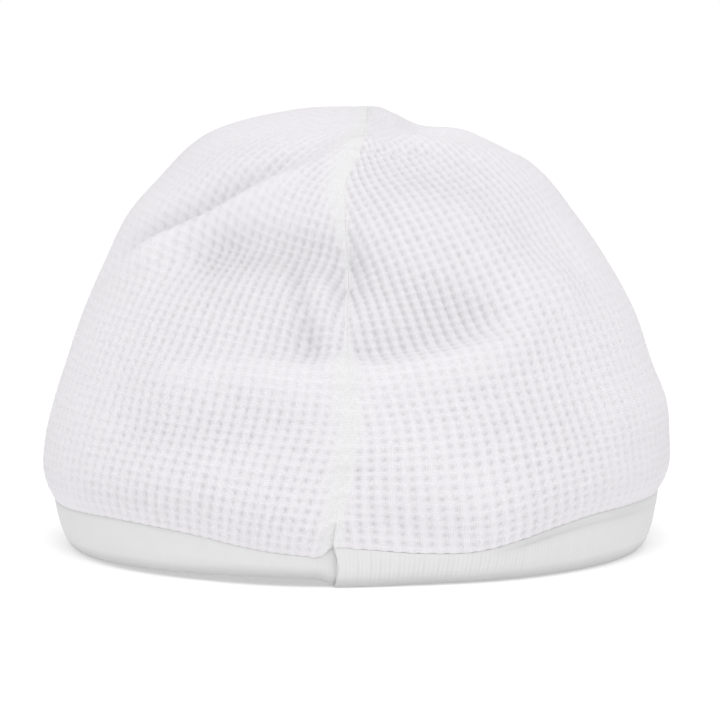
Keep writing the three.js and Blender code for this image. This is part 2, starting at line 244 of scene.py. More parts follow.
def through(rows, key, column, position, end_slope=None):
    """A smooth curve through one column of a table, read at positions along its key."""
    x = key if isinstance(key, np.ndarray) else rows[:, key]
    y = rows[:, column]
    step = np.diff(y) / np.diff(x)
    gap = np.diff(x)
    slope = np.empty_like(y)
    slope[1:-1] = (step[:-1] * gap[1:] + step[1:] * gap[:-1]) / (gap[1:] + gap[:-1])
    slope[0] = step[0]
    slope[-1] = step[-1] if end_slope is None else end_slope
    i = np.clip(np.searchsorted(x, position, side="right") - 1, 0, len(x) - 2)
    u = (position - x[i]) / gap[i]
    return (
        y[i] * (2 * u**3 - 3 * u**2 + 1)
        + y[i + 1] * (3 * u**2 - 2 * u**3)
        + slope[i] * gap[i] * (u**3 - 2 * u**2 + u)
        + slope[i + 1] * gap[i] * (u**3 - u**2)
    )


mean_widths = LEVELS[:, LEFT:SEAM].mean(axis=1)
lengths = np.hypot(np.diff(mean_widths), np.diff(LEVELS[:, HEIGHT]))
CLOTH_LENGTH = lengths.sum()
RISES = np.concatenate(([0.0], np.cumsum(lengths))) / CLOTH_LENGTH


def level(column, rise, end_slope=None):
    return through(LEVELS, RISES, column, rise, end_slope)


def smooth_crown(azimuth, rise):
    """Points of the crown before its folds."""
    sine = np.sin(np.radians(azimuth))
    cosine = np.cos(np.radians(azimuth))
    across = np.where(sine < 0, level(LEFT, rise), level(RIGHT, rise))
    along = np.where(cosine > 0, level(NAPE, rise), level(BROW, rise))
    foot_wave = through(RIM, AZIMUTH, JOIN, azimuth) - LEVELS[0, HEIGHT]
    z = level(HEIGHT, rise, 0.0) + foot_wave * (1.0 - ease(rise / FOOT_WAVE))
    return np.stack([across * sine, -along * cosine, z], axis=-1)


def outward(azimuth, rise):
    """The smooth crown's normal."""
    low = np.maximum(rise - NORMAL_RISE, 0.0)
    high = np.minimum(rise + NORMAL_RISE, APEX_STOP)
    middle = (low + high) / 2
    turned_on = smooth_crown(azimuth + NORMAL_TURN, middle)
    onward = turned_on - smooth_crown(azimuth - NORMAL_TURN, middle)
    up = smooth_crown(azimuth, high) - smooth_crown(azimuth, low)
    normal = np.cross(onward, up)
    return normal / np.linalg.norm(normal, axis=-1, keepdims=True)


def fold_height(fold, along, across):
    """One fold's height at a share of its run and a distance across its line."""
    height, before, after = fold[3:]
    ends = ease(along / FOLD_END) * ease((1.0 - along) / FOLD_END)
    width = np.where(across < 0, before, after)
    return height * ends * np.exp(-((across / width) ** 2))


def fold_line(fold, along):
    """Where its line lies: a parabola through the start, the middle and the end."""
    u = np.clip(along, 0.0, 1.0)
    start, middle, end = fold[2]
    return start * (1 - u) * (1 - 2 * u) + middle * 4 * u * (1 - u) + end * u * (2 * u - 1)


def folds(azimuth, rise):
    """Height of all the folds above the smooth crown."""
    height = np.zeros(np.broadcast(azimuth, rise).shape)
    for fold in ROUND_FOLDS.values():
        along = (azimuth - fold[0]) / (fold[1] - fold[0])
        height += fold_height(fold, along, (rise - fold_line(fold, along)) * CLOTH_LENGTH)
    half_width = (level(LEFT, rise) + level(RIGHT, rise)) / 2
    for fold in RISING_FOLDS.values():
        along = (rise - fold[0]) / (fold[1] - fold[0])
        across = np.radians(azimuth - fold_line(fold, along)) * half_width
        height += fold_height(fold, along, across)
    return height


def stray_with_seam(points):
    """The seam strays sideways on its way up the nape and takes the cloth beside it along."""
    x, y, z = points[:, 0], points[:, 1], points[:, 2]
    height = np.clip(z, LEVELS[0, HEIGHT], LEVELS[-1, HEIGHT])
    nape = through(LEVELS, HEIGHT, SEAM, height, 0.0)
    brow = LEVELS[-1, SEAM] * between(z, BROW_STRAIGHT, LEVELS[-1, HEIGHT])
    share = between(y, *NAPE_STRAY)
    fade = 1.0 - ease(np.abs(x) / SEAM_REACH)
    points[:, 0] += (nape * share + brow * (1.0 - share)) * fade
    return points


# How the knit lies on a half. Cords that stand on the foot take a little less than its arc, and
# those that run over the top less again. Higher up, more of the second way is mixed in.
FOOT_SPREAD = (0.9, 0.05)    # share of the foot's arc that the cords take, and how it varies
TOP_SPREAD = 0.74            # and share of the width that they take over the top
FOOT_LEAN = 0.28             # share by which the cords lean in to the seam at the foot already
LEAN_POWER = 4               # how late they lean in fully
CURVE_POWERS = (1.4, 4)      # how late the courses curve over the top, as the mean of two ways


def knit_position(azimuth, rise):
    """How many cells round from the side, and up from the foot, a point of a half lies. The
    cords stand upright at the foot and lean in to the seam as they climb."""
    angle = np.radians(azimuth)
    from_apex = (1.0 - rise) * CLOTH_LENGTH
    spread, varied = FOOT_SPREAD
    at_foot = FOOT_RADIUS * (spread * (angle - np.pi / 2) + varied * np.sin(2 * angle))
    over_top = -TOP_SPREAD * np.cos(angle)
    upright = (at_foot - FOOT_LEAN * over_top * CLOTH_LENGTH) / (1.0 - FOOT_LEAN)
    lean = FOOT_LEAN + (1.0 - FOOT_LEAN) * rise**LEAN_POWER
    wale = (1.0 - lean) * upright + lean * over_top * from_apex
    curve = sum(rise**power for power in CURVE_POWERS) / 2
    over = CLOTH_LENGTH - from_apex * np.sin(angle)
    course = (1.0 - curve) * rise * CLOTH_LENGTH + curve * over
    return wale / WALE, course / COURSE


# The powers of the curves that fall from a cord and a cross ridge to a pit: the lower, the
# steeper. A cord's falls more steeply where the cords are closed up, and there a high cross
# ridge gets narrow.
CORD_POWER, CORD_STEEPER = 1.15, 0.8
RUNG_POWER, RUNG_NARROWER, RUNG_LOW = 1.6, 4.0, 0.5
RIDGE_BLEND = 4              # how sharply cords and cross ridges run into each other
PIT_CHANCE = (0.87, 0.26)    # least depth of a pit, and what chance adds to it at most
SCATTER = (12.99, 78.23, 437.6)  # uneven numbers that set neighbouring cells apart
AZIMUTHS_READ, RISES_READ = 361, 601  # places between which the knit's lines are looked up


def chance(wale, course=0.0):
    """A value from 0 to 1 for each cell, scattered but the same in every run."""
    drawn = np.sin(SCATTER[0] * np.round(wale) + SCATTER[1] * np.round(course)) * SCATTER[2]
    return drawn - np.floor(drawn)


def knit_relief(wale, course, closed, rung_height):
    """Height of the cloth's face, 1 on the cords and 0 in the pits. Where the cords are closed
    up the pits are slots between them, and their cross ridges may lie lower than they do."""
    cord = np.abs(np.sin(np.pi * wale)) ** (CORD_POWER - CORD_STEEPER * closed)
    power = RUNG_POWER + RUNG_NARROWER * closed * (rung_height - RUNG_LOW)
    rung = rung_height * np.abs(np.sin(np.pi * course)) ** power
    raised = (cord**RIDGE_BLEND + rung**RIDGE_BLEND) / (1.0 + rung_height**RIDGE_BLEND)
    least, added = PIT_CHANCE
    return 1.0 - (1.0 - raised ** (1 / RIDGE_BLEND)) * (least + added * chance(wale, course))


def knit_lines(wale_lines, course_lines):
    """Azimuth and rise of every crossing of the given lines of the knit. Lines that would pass
    beyond the seam stop on it."""
    azimuths = np.linspace(0.0, 180.0, AZIMUTHS_READ)
    rises = np.linspace(0.0, 1.0, RISES_READ)
    wales, courses = knit_position(azimuths[:, None], rises[None, :])
    row_rises = np.array([np.interp(course_lines, row, rises) for row in courses])
    crossing = np.empty((len(wale_lines), len(course_lines), 2))
    for j in range(len(course_lines)):
        row_wales, _ = knit_position(azimuths, row_rises[:, j])
        azimuth = np.interp(wale_lines, row_wales, azimuths)
        crossing[:, j, 0] = azimuth
        crossing[:, j, 1] = np.interp(azimuth, azimuths, row_rises[:, j])
    return crossing


COURSES = CLOTH_LENGTH / COURSE
WALES = math.ceil(-knit_position(0.0, 0.0)[0])


def knit_grid(bm, wale_steps, course_steps):
    """A sheet whose facets follow the knit, each vertex marked with its azimuth and rise."""
    columns = 2 * WALES * wale_steps
    rows = math.ceil(COURSES * course_steps)
    made = bmesh.ops.create_grid(bm, x_segments=columns, y_segments=rows, size=0.5)
    wale_lines = np.arange(-WALES * wale_steps, WALES * wale_steps + 1) / wale_steps
    course_lines = np.minimum(np.arange(rows + 1) / course_steps, COURSES)
    crossing = knit_lines(wale_lines, course_lines)
    azimuth_mark, rise_mark = (bm.verts.layers.float[name] for name in ("azimuth", "rise"))
    for vert in made["verts"]:
        i = round((vert.co.x + 0.5) * columns)
        j = round((vert.co.y + 0.5) * rows)
        vert[azimuth_mark], vert[rise_mark] = crossing[i, j]
    return made["verts"]


# Near the nape the folds go straight in, by this share, and not inward all round. It starts
# at the first azimuth to each side, and is full at the second. Above the foot, the folds start
# at the first height in millimetres and are full at the second.
FOLDS_STRAIGHT, STRAIGHT_AZIMUTHS = 0.85, (52.0, 20.0)
FOLD_HEIGHTS = (-2.0, 6.0)

# How far the seam's thread presses the knit flat, to its left and right, at each rise. Pressed
# cloth keeps a share of its relief, about a height of its own, and the relief comes back over
# these shares of the pressed width.
PRESSED = np.array([
    (0.0, 3.8, 2.2), (0.12, 4.4, 2.4), (0.28, 4.2, 2.2), (0.34, 0.6, 0.3), (0.46, 0.4, 0.3),
    (0.53, 2.4, 0.4), (0.6, 5.0, 0.4), (0.68, 7.0, 0.5), (0.77, 5.6, 0.6), (0.85, 3.4, 0.8),
    (1.0, 3.0, 3.0),
])
PRESSED_RELIEF, PRESSED_HEIGHT, PRESSED_EDGE = 0.25, 0.92, (0.3, 1.4)

# How far the cords are gathered against each other on the right half: in flat cloth, further
# for each millimetre that a hollow is deep, and by the seam's thread at most. The thread does
# it within a reach in millimetres, between two pairs of rises.
GATHERED_FLAT, GATHERED_DEEPER, GATHERED_FROM = 0.1, 0.19, (-14.0, 0.0)
DRAWN_UP, DRAWN_REACH, DRAWN_RISES = 0.6, 18.0, ((0.36, 0.46), (0.7, 0.58))
GATHERED_KNOBS = 0.2         # share by which gathered cords dip between their cross ridges
LEFT_CLOSED = 0.7            # how far the cords of the left half are closed up all over
LEFT_FROM = (-2.0, -12.0)    # azimuths over which that sets in
RUNG_HEIGHT = 1.05           # of the cross ridges, where that of the cords is 1
GATHERED_RUNG = 0.42         # by which they lie lower in gathered cloth
LEFT_RUNG = 0.16             # and higher on the left half

# How deep the pits lie in a hollow and on a crest: the fold's height and the share of their
# depth. They lie less deep at the sides, which are stretched, at the foot and towards the top.
PIT_DEPTHS = np.array([(-6.0, 1.42), (-2.0, 1.0), (1.0, 0.92), (3.5, 0.45)])
SIDE_SHALLOWER, FROM_SIDE = 0.6, (58.0, 16.0)
FOOT_DEPTH, DEPTH_HEIGHTS = 0.25, (0.0, 1.8)
TOP_SHALLOWER, TOP_RISES = 0.55, (0.69, 0.85)

# Where the cloth is drawn open and the pits lie deeper, or is drawn flat and they lie less deep:
# azimuth and rise of its middle, half width in degrees and in rise, and the share of the change.
OPENINGS = (
    (14, 0.53, 24, 0.2, 0.2), (12, 0.66, 24, 0.1, 0.3), (12, 0.28, 16, 0.04, 0.25),
    (34, 0.03, 34, 0.08, -0.16), (58, 0.07, 18, 0.08, -0.24), (-16, 0.54, 24, 0.12, -0.34),
    (-22, 0.44, 15, 0.06, 0.3), (-38, 0.1, 42, 0.13, -0.2), (-14, 0.0, 26, 0.05, -0.25),
    (-40, 0.8, 50, 0.1, -0.2),
)
FACE_LEVEL = 0.85            # relief that lies on the crown's own surface
PIT_PAINTED_SHADE_DEPTHS = (0.4, 1.3)     # the shallowest and deepest pits, as the painted shade in the pits counts them
HOLLOW_PAINTED_SHADE = 0.3            # share of painted shade laid on the pile in a hollow
HOLLOW_PUSHES = (0.0, -7.0)  # from no depth to this one

# How the edges are turned in, ring by ring. At the seam: the distance from its line and the
# depth inside the face, each in rolls and in millimetres. At the foot: the drop and the depth.
ALLOWANCE_EDGE = CLOTH + SEAM_ALLOWANCE
EDGE_ROUND = 0.7             # by which the seam allowance's edge is rounded
INNER_CORNER = 0.6           # and the corner where it meets the inner wall
SEAM_RINGS = (
    (0.55, 0.0, 0.1, 0.0), (0.2, 0.0, 0.42, 0.0), (0.0, 0.0, 1.0, 0.0),
    (0.0, 0.0, 0.0, ALLOWANCE_EDGE - EDGE_ROUND), (0.0, 0.75, 0.0, ALLOWANCE_EDGE),
    (0.0, 1.5, 0.0, ALLOWANCE_EDGE), (0.0, CLOTH, 0.0, ALLOWANCE_EDGE - EDGE_ROUND),
    (0.0, CLOTH, 0.0, CLOTH + INNER_CORNER),
)
FOOT_RINGS = (
    (0.03, 0.01), (0.05, 0.04), (0.06, 0.12), (0.06, 1.0), (0.06, 1.7), (0.05, 1.9),
    (0.03, 2.0), (0.0, 2.0),
)
WALL_EDGE = CLOTH + INNER_CORNER  # distance of the inner wall's edge from the seam's line
HALF_GAP = 0.005             # from the seam's own line to each half
SEAM_ROLL = 0.06             # radius at which the cloth turns in to the seam
GROOVE_ROLL = 0.2            # the same where the seam is drawn into a groove
GROOVE_RISES = ((0.3, 0.36), (0.68, 0.58))
ROLL_REACH, ROLL_LEAST = 8.0, 1.0  # how far the cloth beside the seam gives way, in rolls and mm
FOOT_ROLL = 0.06             # radius at which the cloth turns in to the band
FOOT_ROLL_REACH = 10.0
FOOT_BULGE = 0.3             # by which it stands out over the band
BULGE_HEIGHT, BULGE_REACH = 3.5, 3.0

# The puckers beside the seam: their height, how far out they reach, and the mean radius at
# which that is measured. Their waves, in radians to the millimetre, are a long one that drifts to
# and fro, and a short one of half its height.
PUCKER_HEIGHT, PUCKER_REACH, PUCKER_RADIUS = 0.22, 4.0, 70.0
LONG_WAVE, DRIFT, DRIFT_WAVE = 0.83, 1.7, 0.11
SHORT_WAVE, SHORT_START, SHORT_SHARE = 1.71, 1.0, 0.5

LAP_OUT = 1.25               # by which the band's lapped end stands out
LAP_IN = 0.45                # and by which its start is tucked in
LAP_EASE = 12.0              # degrees over which the end comes back to the band's own line
TUCK_EASE = 8.0              # and over which the start does
LAP_HEIGHT = 6.0             # up to which the crown over the lap stands out with it


def seam_puckers(azimuth, rise):
    """Where the thread draws the cloth up beside the seam, in uneven waves some 7 mm long."""
    beside = np.radians(np.minimum(np.abs(azimuth), 180.0 - np.abs(azimuth))) * PUCKER_RADIUS
    along = rise * CLOTH_LENGTH
    wave = np.sin(along * LONG_WAVE + DRIFT * np.sin(along * DRIFT_WAVE))
    wave = wave + SHORT_SHARE * np.sin(along * SHORT_WAVE + SHORT_START)
    return PUCKER_HEIGHT * wave * np.exp(-((beside / PUCKER_REACH) ** 2))


def lap_shift(away, raised):
    """How far the end of the rim band, lapped over its start at the nape, stands out and the
    start is tucked in, some degrees away from the lap's edge."""
    outer = LAP_OUT * (1.0 - ease(away / LAP_EASE))
    inner = LAP_IN * (ease(away / TUCK_EASE) - 1.0) - LAP_OUT * ease(-away / LAP_EASE)
    return np.where(raised, outer, inner)


def crown_knit(azimuth, rise, beside, push, wale, course, side):
    """Relief of the knit at points of the crown, and the share of it that isn't pressed flat."""
    pressed = np.interp(rise, PRESSED[:, 0], PRESSED[:, 1 if side < 0 else 2])
    clear = between(beside / pressed, *PRESSED_EDGE)
    shown = PRESSED_RELIEF + (1.0 - PRESSED_RELIEF) * clear
    drawn_up = DRAWN_UP * np.exp(-((beside / DRAWN_REACH) ** 2)) * within(rise, *DRAWN_RISES)
    gathered = np.maximum(GATHERED_FLAT - GATHERED_DEEPER * push, drawn_up)
    gathered = np.clip(gathered, 0.0, 1.0) * between(azimuth, *GATHERED_FROM)
    on_left = between(azimuth, *LEFT_FROM)
    closed = gathered + (1.0 - gathered) * LEFT_CLOSED * on_left
    rung_height = RUNG_HEIGHT - GATHERED_RUNG * gathered + LEFT_RUNG * on_left
    relief = knit_relief(wale, course, closed, rung_height)
    relief = relief * (1.0 - GATHERED_KNOBS * gathered * np.cos(np.pi * course) ** 2)
    return relief * shown + PRESSED_HEIGHT * (1.0 - shown), shown


def pit_depth(azimuth, rise, push):
    """How deep the pits lie under the cords, in millimetres."""
    from_side = np.abs(np.abs(azimuth) - 90.0)
    depth = CORD_HEIGHT * (1.0 - SIDE_SHALLOWER * between(from_side, *FROM_SIDE))
    depth = depth * np.interp(push, PIT_DEPTHS[:, 0], PIT_DEPTHS[:, 1])
    off_foot = between(rise * CLOTH_LENGTH, *DEPTH_HEIGHTS)
    depth = depth * (FOOT_DEPTH + (1.0 - FOOT_DEPTH) * off_foot)
    depth = depth * (1.0 - TOP_SHALLOWER * between(rise, *TOP_RISES))
    for middle, middle_rise, half_width, half_rise, more in OPENINGS:
        away = ((azimuth - middle) / half_width) ** 2 + ((rise - middle_rise) / half_rise) ** 2
        depth = depth * (1.0 + more * np.exp(-away))
    return depth


def place_crown(verts, marks, side):
    """Puts every vertex in its place from its marks. Returns its place in the knit, how high its
    pile stands as painted light, greyed by painted shade in the pits and hollows, and the share of
    its relief that isn't pressed flat."""
    read = np.array([[vert[mark] for mark in marks] for vert in verts])
    azimuth, rise, across_rolls, across, depth_rolls, depth, drop, edge, face = read.T
    wale, course = knit_position(azimuth, rise)
    azimuth = azimuth * side
    above = rise * CLOTH_LENGTH
    points = smooth_crown(azimuth, rise)
    beside = np.abs(points[:, 0])
    normal = outward(azimuth, rise)

    push = folds(azimuth, rise) * between(above, *FOLD_HEIGHTS)
    straight_in = FOLDS_STRAIGHT * between(np.abs(azimuth), *STRAIGHT_AZIMUTHS)
    aside = push * normal[:, 0] * straight_in
    relief, shown = crown_knit(azimuth, rise, beside, push, wale, course, side)
    pits = pit_depth(azimuth, rise, push)
    # Painted shade: the pits, and the hollows of the folds as well, are greyed in colour for their
    # shade.
    pile_painted_light = 1.0 - (1.0 - relief) * np.clip(pits / CORD_HEIGHT, *PIT_PAINTED_SHADE_DEPTHS)
    pile_painted_light = pile_painted_light - HOLLOW_PAINTED_SHADE * between(push, *HOLLOW_PUSHES)

    roll = SEAM_ROLL + (GROOVE_ROLL - SEAM_ROLL) * within(rise, *GROOVE_RISES)
    bulge = FOOT_BULGE * np.exp(-(((above - BULGE_HEIGHT) / BULGE_REACH) ** 2))
    push = push + seam_puckers(azimuth, rise) + bulge
    push = push + face * pits * (relief - FACE_LEVEL) - depth - depth_rolls * roll
    points += normal * push[:, None]
    points[:, 0] -= aside
    if side > 0:
        lap = lap_shift(azimuth, True) * np.exp(-((above / LAP_HEIGHT) ** 2))
        points[:, 0] += lap * np.sin(np.radians(azimuth))
        points[:, 1] -= lap * np.cos(np.radians(azimuth))
    turned = HALF_GAP + across_rolls * roll + across
    gives_way = roll * np.exp(-beside / (ROLL_REACH * roll + ROLL_LEAST))
    rolled = np.abs(points[:, 0]) + HALF_GAP + gives_way
    points[:, 0] = side * np.where(edge > 0, turned, rolled)
    points[:, 2] += FOOT_ROLL * np.exp(-above / FOOT_ROLL_REACH) - drop
    points = stray_with_seam(points)
    for vert, point in zip(verts, points * MM):
        vert.co = point
    return wale, course, pile_painted_light, shown


def finished(bm, name, attributes, u, v):
    """A smooth object in the scene, with a UV map and attributes given for each vertex."""
    mesh = bpy.data.meshes.new(name)
    bm.to_mesh(mesh)
    bm.free()
    mesh.shade_smooth()
    corners = np.empty(len(mesh.loops), dtype=np.int32)
    mesh.loops.foreach_get("vertex_index", corners)
    uv = mesh.uv_layers.new(name="knit")
    uv.uv.foreach_set("vector", np.stack([u, v], axis=-1)[corners].ravel().astype(np.float32))
    for key, values in attributes.items():
        attribute = mesh.attributes.new(key, "FLOAT", "POINT")
        attribute.data.foreach_set("value", values.astype(np.float32))
    piece = bpy.data.objects.new(name, mesh)
    bpy.context.collection.objects.link(piece)
    return piece


SAME_PLACE = 0.1             # millimetres within which crossings are merged
NO_RISE = 1e-6               # up to which an edge lies on the foot


def crown_half(name, side):
    """One half as a closed mesh. Its face follows the knit, and its edges roll in: the seam's
    edge to the seam allowance, the foot's to the band. A plain inner wall closes it."""
    bm = bmesh.new()
    keys = (
        "azimuth", "rise", "across_rolls", "across", "depth_rolls", "depth", "drop", "edge", "face",
    )
    for key in keys:
        bm.verts.layers.float.new(key)
    marks = [bm.verts.layers.float[key] for key in keys]
    azimuth_mark, rise_mark, *seam_marks, drop_mark, edge_mark, face_mark = marks
    depth_mark = seam_marks[-1]

    # Crossings beyond the seam all stopped on it: merge them, on the cloth laid out flat.
    def lay_flat(verts):
        for vert in verts:
            turn = math.radians(vert[azimuth_mark])
            away = (1.0 - vert[rise_mark]) * CLOTH_LENGTH
            vert.co = (away * math.sin(turn), -away * math.cos(turn), 0.0)

    def on_foot(edge):
        return all(vert[rise_mark] < NO_RISE for vert in edge.verts)

    def sheet_and_borders(wale_steps, course_steps):
        before = set(bm.verts)
        lay_flat(knit_grid(bm, wale_steps, course_steps))
        new = [vert for vert in bm.verts if vert not in before]
        bmesh.ops.remove_doubles(bm, verts=new, dist=SAME_PLACE)
        new = [vert for vert in bm.verts if vert not in before]
        border = [e for e in bm.edges if e.is_boundary and e.verts[0] not in before]
        foot = [e for e in border if on_foot(e)]
        seam = [e for e in border if not on_foot(e)]
        for vert in {v for e in seam for v in e.verts}:
            vert[azimuth_mark] = 0.0 if vert.co.y < 0 else 180.0
        return new, seam, foot

    face, seam, foot = sheet_and_borders(WALE_STEPS, COURSE_STEPS)
    for vert in face:
        vert[face_mark] = 1.0

    for seam_ring, (drop, foot_depth) in zip(SEAM_RINGS, FOOT_RINGS):
        made = bmesh.ops.extrude_edge_only(bm, edges=seam + foot)
        new_edges = [e for e in made["geom"] if isinstance(e, bmesh.types.BMEdge) and e.is_boundary]
        foot = [e for e in new_edges if on_foot(e)]
        seam = [e for e in new_edges if not on_foot(e)]
        for vert in {v for e in foot for v in e.verts}:
            vert[drop_mark], vert[depth_mark] = drop, foot_depth
        for vert in {v for e in seam for v in e.verts}:
            vert[edge_mark] = 1.0
            for mark, value in zip(seam_marks, seam_ring):
                vert[mark] = value

    wall, wall_seam, wall_foot = sheet_and_borders(1, 1)
    for vert in wall:
        vert[face_mark], vert[depth_mark] = 0.0, CLOTH
    for vert in {v for e in wall_seam for v in e.verts}:
        vert[edge_mark], vert[seam_marks[1]] = 1.0, WALL_EDGE
    wale, course, pile_painted_light, shown = place_crown(bm.verts, marks, side)
    bmesh.ops.bridge_loops(bm, edges=foot + wall_foot)
    bmesh.ops.bridge_loops(bm, edges=seam + wall_seam)
    bmesh.ops.recalc_face_normals(bm, faces=bm.faces)
    for _ in keys:
        bm.verts.layers.float.remove(bm.verts.layers.float[-1])
    return finished(bm, name, {"pile_painted_light": pile_painted_light, "plain": 1.0 - shown}, wale, course)


COTTON_GLOSS = 0.15
COTTON_SHEEN_ROUGHNESS = 0.6
YARN_FUZZ = (1400.0, 3.0)    # scale and detail of the yarn's unevenness


def node(tree, kind, inputs=(), **settings):
    """Adds a node. Its inputs, by name or number, are values or the sockets to link from."""
    made = tree.nodes.new(kind)
    for key, value in settings.items():
        setattr(made, key, value)
    for key, value in dict(inputs).items():
        if isinstance(value, bpy.types.NodeSocket):
            tree.links.new(value, made.inputs[key])
        else:
            made.inputs[key].default_value = value
    return made


def maths(tree, operation, *values):
    return node(tree, "ShaderNodeMath", enumerate(values), operation=operation).outputs[0]


# A Mix node's sockets for colours, by number.
MIX_SHARE, MIX_FIRST, MIX_SECOND, MIX_RESULT = 0, 6, 7, 2


def blend_colours(tree, share, first, second, way="MIX"):
    inputs = {MIX_SHARE: share, MIX_FIRST: first, MIX_SECOND: second}
    mix = node(tree, "ShaderNodeMix", inputs, data_type="RGBA", blend_type=way)
    return mix.outputs[MIX_RESULT]


def multiply_colour(tree, colour, shade):
    return blend_colours(tree, 1.0, colour, shade, "MULTIPLY")


def fuzz(tree, scale, detail):
    """Uneven yarn, from the object's own coordinates: its scale is a number to the metre."""
    places = node(tree, "ShaderNodeTexCoord").outputs["Object"]
    noise = node(tree, "ShaderNodeTexNoise", {"Vector": places, "Scale": scale, "Detail": detail})
    return noise.outputs[0]


def cotton(name, roughness, sheen):
    """The start of a matt cotton finish, with its node tree and shader."""
    finish = bpy.data.materials.new(name)
    finish.use_nodes = True
    shader = finish.node_tree.nodes["Principled BSDF"]
    shader.inputs["Roughness"].default_value = roughness
    shader.inputs["Specular IOR Level"].default_value = COTTON_GLOSS
    shader.inputs["Sheen Weight"].default_value = sheen
    shader.inputs["Sheen Roughness"].default_value = COTTON_SHEEN_ROUGHNESS
    return finish, finish.node_tree, shader


# The knit's colour: a faintly pink white on the cords, greyed with painted shade in the pits and in
# the hollows of the folds, and a plain white where the seam presses the cloth flat. Its bump is the
# loops of the yarn, three to a cell. It weakens over the last courses below the apex, where the
# cloth is slack.
LOOPS = 3
LOOP_BEND = 0.9              # radians by which a row of loops bends up and down
LOOP_SHARE = 0.5             # of the loops' height along the wale, and across it
FUZZ_SHARE = 1.2             # and of the unevenness on top of them
MOTTLE = (1300.0, 4.0)       # scale and detail of the uneven whiteness
SHADE_BY_MOTTLE, SHADE_BY_YARN, SHADE_LEAST = 0.14, 0.1, 0.814
BUMP_COURSES = (42.0, 48.0)
BUMP_STRENGTHS = (0.55, 0.47)
BUMP_DEPTH = 0.00035         # metres

waffle, tree, shader = cotton("waffle_knit_cotton", roughness=0.9, sheen=0.12)
pile_painted_light_fac = node(tree, "ShaderNodeAttribute", attribute_name="pile_painted_light").outputs["Fac"]
on_seam = node(tree, "ShaderNodeAttribute", attribute_name="plain").outputs["Fac"]
cells = node(tree, "ShaderNodeUVMap", uv_map="knit").outputs[0]
wales, courses, _ = node(tree, "ShaderNodeSeparateXYZ", {0: cells}).outputs
loop_turn = LOOPS * 2.0 * math.pi
wale_wave = maths(tree, "SINE", maths(tree, "MULTIPLY", wales, loop_turn))
wale_wave = maths(tree, "ABSOLUTE", wale_wave)
loop_bend = maths(tree, "MULTIPLY", wale_wave, LOOP_BEND)
loop_phase = maths(tree, "MULTIPLY_ADD", courses, loop_turn, loop_bend)
loops = maths(tree, "ABSOLUTE", maths(tree, "SINE", loop_phase))
loops = maths(tree, "MULTIPLY", loops, LOOP_SHARE)
loops = maths(tree, "MULTIPLY_ADD", wale_wave, LOOP_SHARE, loops)
yarn = maths(tree, "MULTIPLY_ADD", fuzz(tree, *YARN_FUZZ), FUZZ_SHARE, loops)
# The cords' white, greyed by painted shade in the pits and hollows.
knit_white_painted_shade = blend_colours(tree, pile_painted_light_fac, CROWN_PIT_PAINTED_SHADE, CROWN_PINK_WHITE)
crown_white = blend_colours(tree, on_seam, knit_white_painted_shade, SEAM_WHITE)
# The white is mottled at random, and the yarn adds painted shade where its loops dip, with random
# unevenness.
shade = maths(tree, "MULTIPLY_ADD", fuzz(tree, *MOTTLE), SHADE_BY_MOTTLE, SHADE_LEAST)
shade = maths(tree, "MULTIPLY_ADD", yarn, SHADE_BY_YARN, shade)
bump_strength = node(tree, "ShaderNodeMapRange", {
    "Value": courses, "From Min": BUMP_COURSES[0], "From Max": BUMP_COURSES[1],
    "To Min": BUMP_STRENGTHS[0], "To Max": BUMP_STRENGTHS[1],
}).outputs[0]
bump = node(
    tree, "ShaderNodeBump", {"Strength": bump_strength, "Distance": BUMP_DEPTH, "Height": yarn},
)
tree.links.new(multiply_colour(tree, crown_white, shade), shader.inputs["Base Color"])
tree.links.new(bump.outputs[0], shader.inputs["Normal"])

for node_name, side in (("crown_left", -1), ("crown_right", 1)):
    half = crown_half(f"{node_name}_cloth", side)
    half.data.materials.append(waffle)
    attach(half, "root")
    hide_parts(node_name)

# ---- the rim band ----
# A strip of fine rib knit, folded along the rim and sewn on under the crown's foot. It starts
# tucked under at the nape, runs round by the left and forehead, and its end lies on top.

BAND_LAP = 9.0               # degrees by which the end covers the start
LAP_PRESS = 0.35             # share by which both are pressed thinner
PRESS_EASE = 6.0             # degrees over which they come to be
LAP_CURVE = 0.9              # degrees by which the lapped end's edge bends in midway down
LAP_CURVE_REACH = 4.0        # degrees over which the bend dies out
JOIN_GAP = 0.02              # from the crown's foot
RIB = 1.15                   # from one rib to the next
RIB_STEPS = 4                # facets across a rib
RIB_HEIGHT = 0.05
BAND_WHITE = (0.79, 0.79, 0.79, 1.0)
# The grooves' white is painted shade between the ribs.
BAND_GROOVE_PAINTED_SHADE = (0.73, 0.73, 0.73, 1.0)
# The fold's white is painted shade, darkest at the band's bottom edge.
BAND_FOLD_PAINTED_SHADE = (0.57, 0.57, 0.57, 1.0)
FOLD_SHADE = 4.2             # height up to which shade is painted round the fold at the foot
FOOT_WIDTHS = {LEFT: 82.9, RIGHT: 82.8, NAPE: 91.5, BROW: 91.5}

